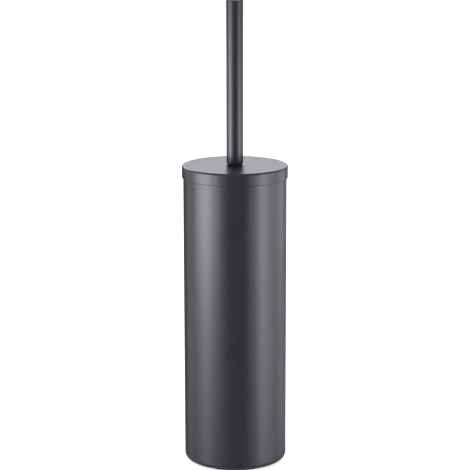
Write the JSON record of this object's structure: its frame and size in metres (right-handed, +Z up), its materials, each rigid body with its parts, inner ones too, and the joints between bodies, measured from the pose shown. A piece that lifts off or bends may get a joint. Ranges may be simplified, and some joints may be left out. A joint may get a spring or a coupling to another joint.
{
  "type": "toilet brush holder",
  "caption": "Slim free-standing toilet brush holder: coated-steel canister with a lift-out liner, and a lidded brush on a straight tube handle.",
  "frame": {"origin": "centre of the base, on the surface that the foot ring stands on", "axes": "+Z up along the common axis of canister, lid, handle and brush; +X to the right and -Y to the front, which a round object has only by choice"},
  "size_m": [0.0882, 0.0882, 0.3908],
  "materials": {
    "coated_steel": "satin",
    "zinc_steel": "satin",
    "liner_plastic": "satin",
    "black_plastic": "satin",
    "soft_ring": "matte",
    "bristles": "matte"
  },
  "bodies": {
    "holder": {"foot_ring": "soft_ring", "canister_shell": "coated_steel", "base_plate": "coated_steel"},
    "liner": {"liner_cup": "liner_plastic"},
    "gasket": {"lid_gasket": "soft_ring"},
    "brush": {"lid_shell": "coated_steel", "handle_washer": "soft_ring", "handle_tube": "coated_steel", "handle_cap": "coated_steel", "handle_insert": "zinc_steel", "clamp_stud": "zinc_steel", "under_washer": "zinc_steel", "lock_nut": "zinc_steel", "stem_tube": "coated_steel", "stem_top_plug": "black_plastic", "stem_tip": "black_plastic"},
    "seal": {"head_seal": "soft_ring"},
    "head": {"head_core": "black_plastic", "bristle_row_1": "bristles", "bristle_row_2": "bristles", "bristle_row_3": "bristles", "bristle_row_4": "bristles", "bristle_row_5": "bristles", "bristle_row_6": "bristles", "bristle_row_7": "bristles", "bristle_row_8": "bristles", "bristle_row_9": "bristles", "tip_tufts": "bristles"}
  },
  "joints": [
    {"name": "liner_lift", "type": "slide", "parent": "holder", "child": "liner", "axis": [0, 0, 1], "range_m": [0, 0.26]},
    {"name": "brush_lift", "type": "slide", "parent": "liner", "child": "gasket", "axis": [0, 0, 1], "range_m": [0, 0.26]},
    {"name": "brush_turn", "type": "hinge", "parent": "gasket", "child": "brush", "pos_m": [0, 0, 0.2535], "axis": [0, 0, 1], "continuous": true},
    {"name": "head_travel", "type": "slide", "parent": "brush", "child": "seal", "axis": [0, 0, -1], "range_m": [0, 0.01]},
    {"name": "head_unscrew", "type": "hinge", "parent": "seal", "child": "head", "pos_m": [0, 0, 0.1143], "axis": [0, 0, -1], "range_deg": [0, 1800]}
  ],
  "couplings": [
    {"joint": "head_travel", "follows": "head_unscrew", "m_per_rad": 0.00031831}
  ]
}
